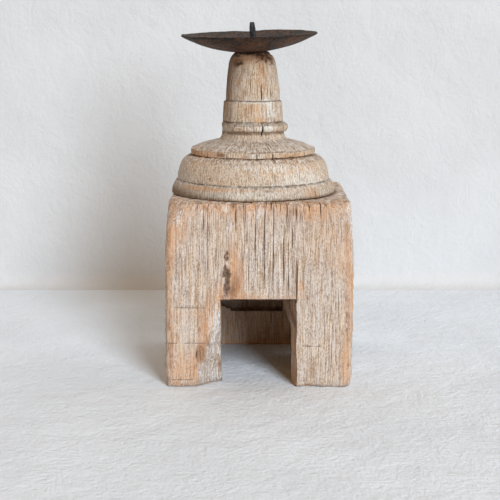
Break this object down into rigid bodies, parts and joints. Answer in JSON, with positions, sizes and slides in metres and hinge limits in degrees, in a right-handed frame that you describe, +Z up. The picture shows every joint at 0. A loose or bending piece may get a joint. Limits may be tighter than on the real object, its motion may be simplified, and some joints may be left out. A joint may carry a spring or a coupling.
{
  "type": "candle holder",
  "caption": "Pricket candle holder: a weathered square wooden block with an arch, a turned post, an iron drip dish and a spike.",
  "frame": {"origin": "on the surface that it stands on, under the middle of the square block", "axes": "+Z up; -Y to the front, where the arch is; +X to the right of someone who looks at the front"},
  "size_m": [0.115, 0.115, 0.2236],
  "materials": {
    "weathered_wood": "dry, bleached and cracked, with traces of limewash",
    "forged_iron": "dark hammered sheet with brown rust",
    "dark_iron": "dark forged bar"
  },
  "bodies": {
    "root": {"wooden_stand": "weathered_wood", "drip_dish": "forged_iron", "pricket": "dark_iron"}
  },
  "joints": []
}
